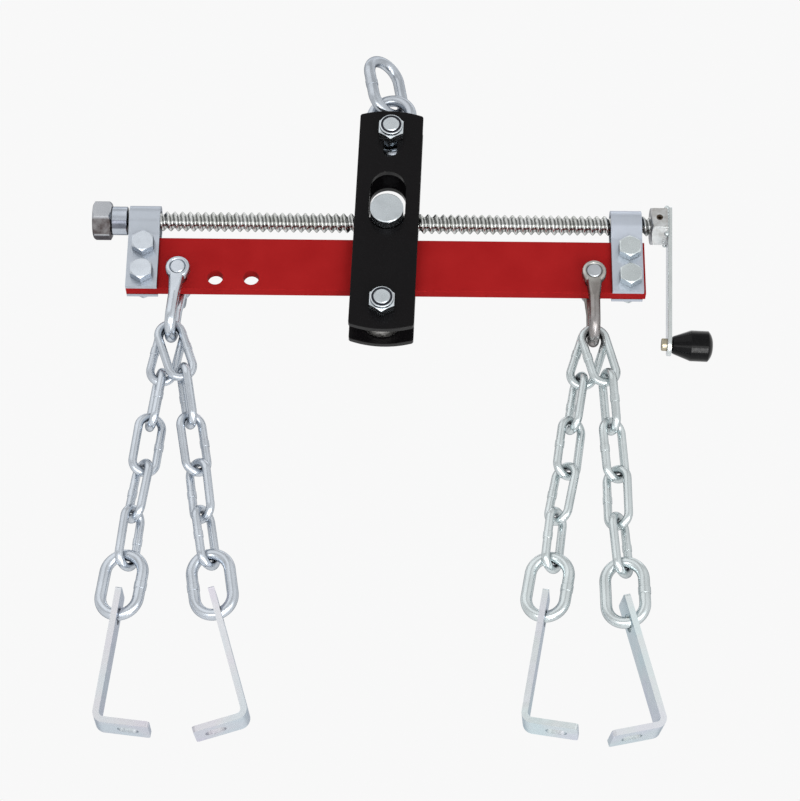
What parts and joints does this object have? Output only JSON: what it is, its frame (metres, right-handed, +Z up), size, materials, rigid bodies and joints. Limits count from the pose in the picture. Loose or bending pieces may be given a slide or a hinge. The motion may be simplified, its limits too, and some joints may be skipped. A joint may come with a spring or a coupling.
{
  "type": "engine load leveler",
  "caption": "Engine load leveler: crank-driven lead screw shifts a flat bar under a lifting carriage, with chains and L brackets hung from shackles at both ends.",
  "frame": {"origin": "middle of the top crown of the upper lifting link, where a hoist hook sits", "axes": "+X along the bar towards the crank, -Y towards the carriage nuts, +Z up"},
  "size_m": [0.5272, 0.0695, 0.6355],
  "materials": {
    "red_paint": "gloss",
    "black_paint": "gloss",
    "black_knob": "gloss",
    "nylon": "satin",
    "screw_zinc": "zinc plated",
    "steel": "turned",
    "bracket_zinc": "zinc plated",
    "grey_zinc": "zinc plated",
    "yellow_zinc": "yellow zinc",
    "zinc": "zinc plated"
  },
  "bodies": {
    "upper_link": {"upper_lifting_link": "zinc"},
    "lower_link": {"lower_lifting_link": "zinc"},
    "carriage": {"front_side_plate": "black_paint", "rear_side_plate": "black_paint", "top_bolt": "zinc", "top_lock_nut": "zinc", "bottom_bolt": "zinc", "bottom_lock_nut": "zinc", "nylon_inserts": "nylon", "roller_bush": "steel"},
    "roller": {"load_roller": "steel"},
    "trunnion": {"trunnion_nut": "zinc"},
    "bar": {"load_bar": "red_paint", "left_end_strap": "zinc", "right_end_strap": "zinc", "strap_bolts": "zinc", "strap_nuts": "zinc"},
    "screw": {"lead_screw": "screw_zinc", "thrust_collar": "zinc", "hex_drive_nut": "zinc", "crank_hub": "zinc", "hub_pin": "yellow_zinc", "crank_arm": "zinc", "hub_welds": "zinc", "knob_spindle": "yellow_zinc"},
    "knob": {"crank_knob": "black_knob"},
    "left_shackle": {"left_shackle_bow": "zinc", "left_shackle_pin": "zinc"},
    "right_shackle": {"right_shackle_bow": "grey_zinc", "right_shackle_pin": "grey_zinc"},
    "left_outer_link_1": {"left_outer_link_1": "zinc"},
    "left_outer_link_2": {"left_outer_link_2": "zinc"},
    "left_outer_link_3": {"left_outer_link_3": "zinc"},
    "left_outer_link_4": {"left_outer_link_4": "zinc"},
    "left_outer_link_5": {"left_outer_link_5": "zinc"},
    "left_outer_end_link": {"left_outer_end_link": "zinc"},
    "left_outer_bracket": {"left_outer_bracket": "bracket_zinc"},
    "left_inner_link_1": {"left_inner_link_1": "zinc"},
    "left_inner_link_2": {"left_inner_link_2": "zinc"},
    "left_inner_link_3": {"left_inner_link_3": "zinc"},
    "left_inner_link_4": {"left_inner_link_4": "zinc"},
    "left_inner_link_5": {"left_inner_link_5": "zinc"},
    "left_inner_end_link": {"left_inner_end_link": "zinc"},
    "left_inner_bracket": {"left_inner_bracket": "bracket_zinc"},
    "right_inner_link_1": {"right_inner_link_1": "zinc"},
    "right_inner_link_2": {"right_inner_link_2": "zinc"},
    "right_inner_link_3": {"right_inner_link_3": "zinc"},
    "right_inner_link_4": {"right_inner_link_4": "zinc"},
    "right_inner_link_5": {"right_inner_link_5": "zinc"},
    "right_inner_end_link": {"right_inner_end_link": "zinc"},
    "right_inner_bracket": {"right_inner_bracket": "bracket_zinc"},
    "right_outer_link_1": {"right_outer_link_1": "zinc"},
    "right_outer_link_2": {"right_outer_link_2": "zinc"},
    "right_outer_link_3": {"right_outer_link_3": "zinc"},
    "right_outer_link_4": {"right_outer_link_4": "zinc"},
    "right_outer_link_5": {"right_outer_link_5": "zinc"},
    "right_outer_end_link": {"right_outer_end_link": "zinc"},
    "right_outer_bracket": {"right_outer_bracket": "bracket_zinc"}
  },
  "joints": [
    {"name": "lower_link_swing", "type": "hinge", "parent": "upper_link", "child": "lower_link", "pos_m": [0.00662, 0, -0.04092], "axis": [0.1736, 0.9848, 0], "range_deg": [-12, 4]},
    {"name": "carriage_swing", "type": "hinge", "parent": "lower_link", "child": "carriage", "pos_m": [0.00662, 0, -0.06667], "axis": [0, 1, 0], "range_deg": [-20, 5]},
    {"name": "roller_spin", "type": "hinge", "parent": "carriage", "child": "roller", "pos_m": [0.00068, 0, -0.23652], "axis": [0, 1, 0], "continuous": true},
    {"name": "bar_tilt", "type": "hinge", "parent": "carriage", "child": "trunnion", "pos_m": [0.00375, 0, -0.14862], "axis": [0, 1, 0], "range_deg": [-4.5, 8.5]},
    {"name": "bar_slide", "type": "slide", "parent": "trunnion", "child": "bar", "axis": [1, 0, 0], "range_m": [-0.1297, 0.1297]},
    {"name": "screw_turn", "type": "hinge", "parent": "bar", "child": "screw", "pos_m": [0.00375, 0, -0.14862], "axis": [1, 0, 0], "range_deg": [-7020, 7020]},
    {"name": "knob_spin", "type": "hinge", "parent": "screw", "child": "knob", "pos_m": [0.24463, 0, -0.26369], "axis": [0.9993, 0, -0.0384], "continuous": true},
    {"name": "left_shackle_swing", "type": "hinge", "parent": "bar", "child": "left_shackle", "pos_m": [-0.17175, -0.00525, -0.20657], "axis": [0, 1, 0], "range_deg": [-20, 20]},
    {"name": "right_shackle_swing", "type": "hinge", "parent": "bar", "child": "right_shackle", "pos_m": [0.17925, -0.00525, -0.20657], "axis": [0, 1, 0], "range_deg": [-20, 20]},
    {"name": "left_outer_link_1_swing", "type": "hinge", "parent": "left_shackle", "child": "left_outer_link_1", "pos_m": [-0.17642, 0.00245, -0.25997], "axis": [0.0376, 0.9848, 0.1695], "range_deg": [0, 35]},
    {"name": "left_outer_link_2_swing", "type": "hinge", "parent": "left_outer_link_1", "child": "left_outer_link_2", "pos_m": [-0.18523, 0.00947, -0.30045], "axis": [0.944, 0.309, -0.1159], "range_deg": [-30, 30]},
    {"name": "left_outer_link_3_swing", "type": "hinge", "parent": "left_outer_link_2", "child": "left_outer_link_3", "pos_m": [-0.19034, 0.00947, -0.34224], "axis": [-0.3401, 0.9397, 0.0358], "range_deg": [-3, 30]},
    {"name": "left_outer_link_4_swing", "type": "hinge", "parent": "left_outer_link_3", "child": "left_outer_link_4", "pos_m": [-0.19479, 0.00947, -0.3841], "axis": [-0.8015, -0.5878, 0.1098], "range_deg": [-25, 5]},
    {"name": "left_outer_link_5_swing", "type": "hinge", "parent": "left_outer_link_4", "child": "left_outer_link_5", "pos_m": [-0.20042, 0.00947, -0.42582], "axis": [-0.8259, 0.5592, 0.0723], "range_deg": [-5, 25]},
    {"name": "left_outer_end_link_swing", "type": "hinge", "parent": "left_outer_link_5", "child": "left_outer_end_link", "pos_m": [-0.2047, 0.00947, -0.47222], "axis": [-0.1724, -0.9848, 0.0212], "range_deg": [-30, 4]},
    {"name": "left_outer_bracket_swing", "type": "hinge", "parent": "left_outer_end_link", "child": "left_outer_bracket", "pos_m": [-0.20898, 0.00945, -0.50822], "axis": [0.9785, -0.1736, -0.1114], "range_deg": [-25, 25]},
    {"name": "left_inner_link_1_swing", "type": "hinge", "parent": "left_shackle", "child": "left_inner_link_1", "pos_m": [-0.17659, -0.00635, -0.26197], "axis": [-0.0115, 0.9994, 0.0329], "range_deg": [-25, 0]},
    {"name": "left_inner_link_2_swing", "type": "hinge", "parent": "left_inner_link_1", "child": "left_inner_link_2", "pos_m": [-0.16273, -0.00461, -0.30233], "axis": [0.9383, 0.2706, 0.2154], "range_deg": [-30, 30]},
    {"name": "left_inner_link_3_swing", "type": "hinge", "parent": "left_inner_link_2", "child": "left_inner_link_3", "pos_m": [-0.15569, 0.00329, -0.34308], "axis": [-0.5081, 0.8613, 0.0023], "range_deg": [-20, 3]},
    {"name": "left_inner_link_4_swing", "type": "hinge", "parent": "left_inner_link_3", "child": "left_inner_link_4", "pos_m": [-0.14846, 0.00752, -0.38432], "axis": [-0.6872, -0.7193, -0.1015], "range_deg": [-5, 25]},
    {"name": "left_inner_link_5_swing", "type": "hinge", "parent": "left_inner_link_4", "child": "left_inner_link_5", "pos_m": [-0.14227, 0.00752, -0.42597], "axis": [-0.8169, 0.5592, -0.1411], "range_deg": [-15, 5]},
    {"name": "left_inner_end_link_swing", "type": "hinge", "parent": "left_inner_link_5", "child": "left_inner_end_link", "pos_m": [-0.13442, 0.00752, -0.4719], "axis": [-0.1715, -0.9848, -0.0272], "range_deg": [-4, 30]},
    {"name": "left_inner_bracket_swing", "type": "hinge", "parent": "left_inner_end_link", "child": "left_inner_bracket", "pos_m": [-0.12678, 0.00716, -0.50725], "axis": [0.9439, -0.1722, 0.2817], "range_deg": [-25, 25]},
    {"name": "right_inner_link_1_swing", "type": "hinge", "parent": "right_shackle", "child": "right_inner_link_1", "pos_m": [0.17879, 0.00245, -0.26017], "axis": [-0.0122, 0.9824, 0.1863], "range_deg": [0, 25]},
    {"name": "right_inner_link_2_swing", "type": "hinge", "parent": "right_inner_link_1", "child": "right_inner_link_2", "pos_m": [0.16609, 0.00947, -0.29959], "axis": [0.915, 0.3746, -0.1498], "range_deg": [-30, 30]},
    {"name": "right_inner_link_3_swing", "type": "hinge", "parent": "right_inner_link_2", "child": "right_inner_link_3", "pos_m": [0.15932, 0.00947, -0.34114], "axis": [-0.5538, 0.829, 0.0778], "range_deg": [-3, 20]},
    {"name": "right_inner_link_4_swing", "type": "hinge", "parent": "right_inner_link_3", "child": "right_inner_link_4", "pos_m": [0.15336, 0.00947, -0.38282], "axis": [-0.6299, -0.766, 0.1282], "range_deg": [-25, 5]},
    {"name": "right_inner_link_5_swing", "type": "hinge", "parent": "right_inner_link_4", "child": "right_inner_link_5", "pos_m": [0.14509, 0.00947, -0.42409], "axis": [-0.8229, 0.5592, 0.101], "range_deg": [-5, 15]},
    {"name": "right_inner_end_link_swing", "type": "hinge", "parent": "right_inner_link_5", "child": "right_inner_end_link", "pos_m": [0.1391, 0.00947, -0.4703], "axis": [-0.1879, -0.9816, 0.0331], "range_deg": [-30, 4]},
    {"name": "right_inner_bracket_swing", "type": "hinge", "parent": "right_inner_end_link", "child": "right_inner_bracket", "pos_m": [0.1328, 0.00947, -0.506], "axis": [0.9667, -0.1908, -0.1705], "range_deg": [-25, 25]},
    {"name": "right_outer_link_1_swing", "type": "hinge", "parent": "right_shackle", "child": "right_outer_link_1", "pos_m": [0.17877, -0.00635, -0.26218], "axis": [-0.0764, 0.997, 0.0153], "range_deg": [-35, 0]},
    {"name": "right_outer_link_2_swing", "type": "hinge", "parent": "right_outer_link_1", "child": "right_outer_link_2", "pos_m": [0.18967, -0.00461, -0.30343], "axis": [0.9322, 0.3357, 0.1355], "range_deg": [-30, 30]},
    {"name": "right_outer_link_3_swing", "type": "hinge", "parent": "right_outer_link_2", "child": "right_outer_link_3", "pos_m": [0.19277, 0.00329, -0.34466], "axis": [-0.5924, 0.8046, 0.0413], "range_deg": [-30, 3]},
    {"name": "right_outer_link_4_swing", "type": "hinge", "parent": "right_outer_link_3", "child": "right_outer_link_4", "pos_m": [0.19573, 0.00752, -0.38643], "axis": [-0.6156, -0.788, -0.0054], "range_deg": [-5, 25]},
    {"name": "right_outer_link_5_swing", "type": "hinge", "parent": "right_outer_link_4", "child": "right_outer_link_5", "pos_m": [0.1962, 0.00752, -0.42853], "axis": [-0.8268, 0.5592, -0.0607], "range_deg": [-25, 5]},
    {"name": "right_outer_end_link_swing", "type": "hinge", "parent": "right_outer_link_5", "child": "right_outer_end_link", "pos_m": [0.19927, 0.00752, -0.47502], "axis": [-0.2419, -0.9703, -0.0042], "range_deg": [-4, 30]},
    {"name": "right_outer_bracket_swing", "type": "hinge", "parent": "right_outer_end_link", "child": "right_outer_bracket", "pos_m": [0.20328, 0.00668, -0.51081], "axis": [0.9422, -0.2359, 0.238], "range_deg": [-25, 25]}
  ],
  "couplings": [
    {"joint": "bar_slide", "follows": "screw_turn", "m_per_rad": 0.0010504}
  ]
}
